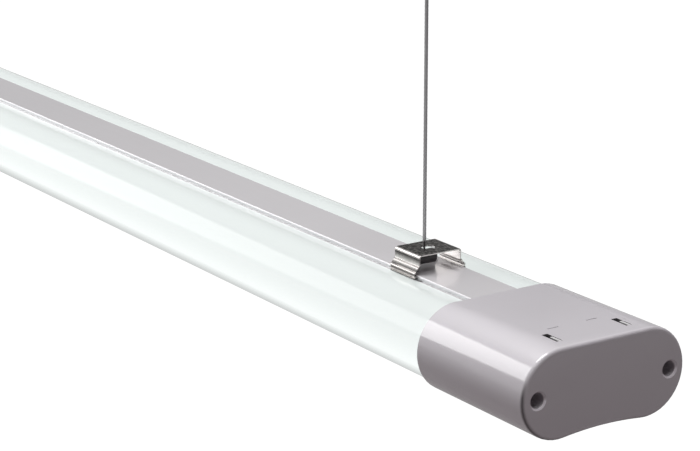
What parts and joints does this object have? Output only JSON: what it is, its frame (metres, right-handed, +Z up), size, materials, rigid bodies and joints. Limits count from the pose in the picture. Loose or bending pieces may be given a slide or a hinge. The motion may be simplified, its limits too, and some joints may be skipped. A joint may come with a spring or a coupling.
{
  "type": "hanging shop light",
  "caption": "Slim linear shop light with a twin-lobed opal tube and grey end caps, hung level from ceiling fittings on steel wires with spring clips on its top rail.",
  "frame": {"origin": "on the ceiling plane, midway between the screw holes of the two ceiling fittings", "axes": "+Z up into the ceiling, +X along the light towards the end cap that is close in the picture, +Y across the light"},
  "size_m": [1.2171, 0.0908, 0.1976],
  "materials": {
    "opal_tube": "satin opal",
    "rail_aluminium": "satin anodised",
    "tray_sheet": "white powder coat",
    "cap_grey": "fine matte moulding",
    "frame_plastic": "matte moulding",
    "gasket_rubber": "matte",
    "screw_steel": "zinc plated",
    "led_board": "white solder mask",
    "led_phosphor": "glossy",
    "socket_plastic": "matte",
    "driver_sheet": "painted",
    "circuit_board": "solder mask",
    "component_dark": "matte",
    "lead_brown": "matte",
    "lead_red": "matte",
    "gland_grey": "matte",
    "clip_steel": "bright spring steel",
    "rope_steel": "galvanised",
    "toggle_dark": "dark coated",
    "saddle_brass": "turned",
    "fitting_nickel": "satin nickel plated"
  },
  "bodies": {
    "ceiling": {"ceiling_cup_front": "fitting_nickel", "ceiling_cup_rear": "fitting_nickel", "ceiling_disc_front": "fitting_nickel", "ceiling_disc_rear": "fitting_nickel"},
    "saddle_front": {"saddle_front": "saddle_brass"},
    "wire_front": {"wire_front": "rope_steel", "toggle_front": "toggle_dark", "top_bar_front": "screw_steel"},
    "light": {"diffuser": "opal_tube", "mounting_rail": "rail_aluminium", "gear_tray": "tray_sheet", "end_cap_front": "cap_grey", "end_cap_rear": "cap_grey", "end_frame_front": "frame_plastic", "end_frame_rear": "frame_plastic", "end_gasket_front": "gasket_rubber", "end_gasket_rear": "gasket_rubber", "cap_screws_front": "screw_steel", "cap_screws_rear": "screw_steel", "led_board_left": "led_board", "led_board_right": "led_board", "led_chips_left": "led_phosphor", "led_chips_right": "led_phosphor", "board_sockets": "socket_plastic", "driver_base": "driver_sheet", "driver_board": "circuit_board", "driver_components": "component_dark", "driver_cover": "driver_sheet", "terminal_block": "socket_plastic", "terminal_screws": "screw_steel", "mains_leads": "lead_brown", "board_leads": "lead_red", "gland_body": "gland_grey", "gland_seal": "gasket_rubber", "gland_nut": "gland_grey", "gland_locknut": "gland_grey", "clip_front": "clip_steel", "clip_rear": "clip_steel"},
    "saddle_rear": {"saddle_rear": "saddle_brass"},
    "wire_rear": {"wire_rear": "rope_steel", "toggle_rear": "toggle_dark", "top_bar_rear": "screw_steel"}
  },
  "joints": [
    {"name": "sway", "type": "hinge", "parent": "ceiling", "child": "saddle_front", "pos_m": [0.4678, 0, -0.014], "axis": [1, 0, 0], "range_deg": [-20, 20]},
    {"name": "swing", "type": "hinge", "parent": "saddle_front", "child": "wire_front", "pos_m": [0.4678, 0, -0.014], "axis": [0, 1, 0], "range_deg": [-20, 20]},
    {"name": "light_level", "type": "hinge", "parent": "wire_front", "child": "light", "pos_m": [0.4678, 0, -0.1517], "axis": [0, 1, 0], "range_deg": [-20, 20]},
    {"name": "sway_rear", "type": "hinge", "parent": "ceiling", "child": "saddle_rear", "pos_m": [-0.4678, 0, -0.014], "axis": [1, 0, 0], "range_deg": [-20, 20]},
    {"name": "swing_rear", "type": "hinge", "parent": "saddle_rear", "child": "wire_rear", "pos_m": [-0.4678, 0, -0.014], "axis": [0, 1, 0], "range_deg": [-20, 20]}
  ],
  "couplings": [
    {"joint": "light_level", "follows": "swing", "ratio": -1},
    {"joint": "swing_rear", "follows": "swing", "ratio": 1},
    {"joint": "sway_rear", "follows": "sway", "ratio": 1}
  ]
}
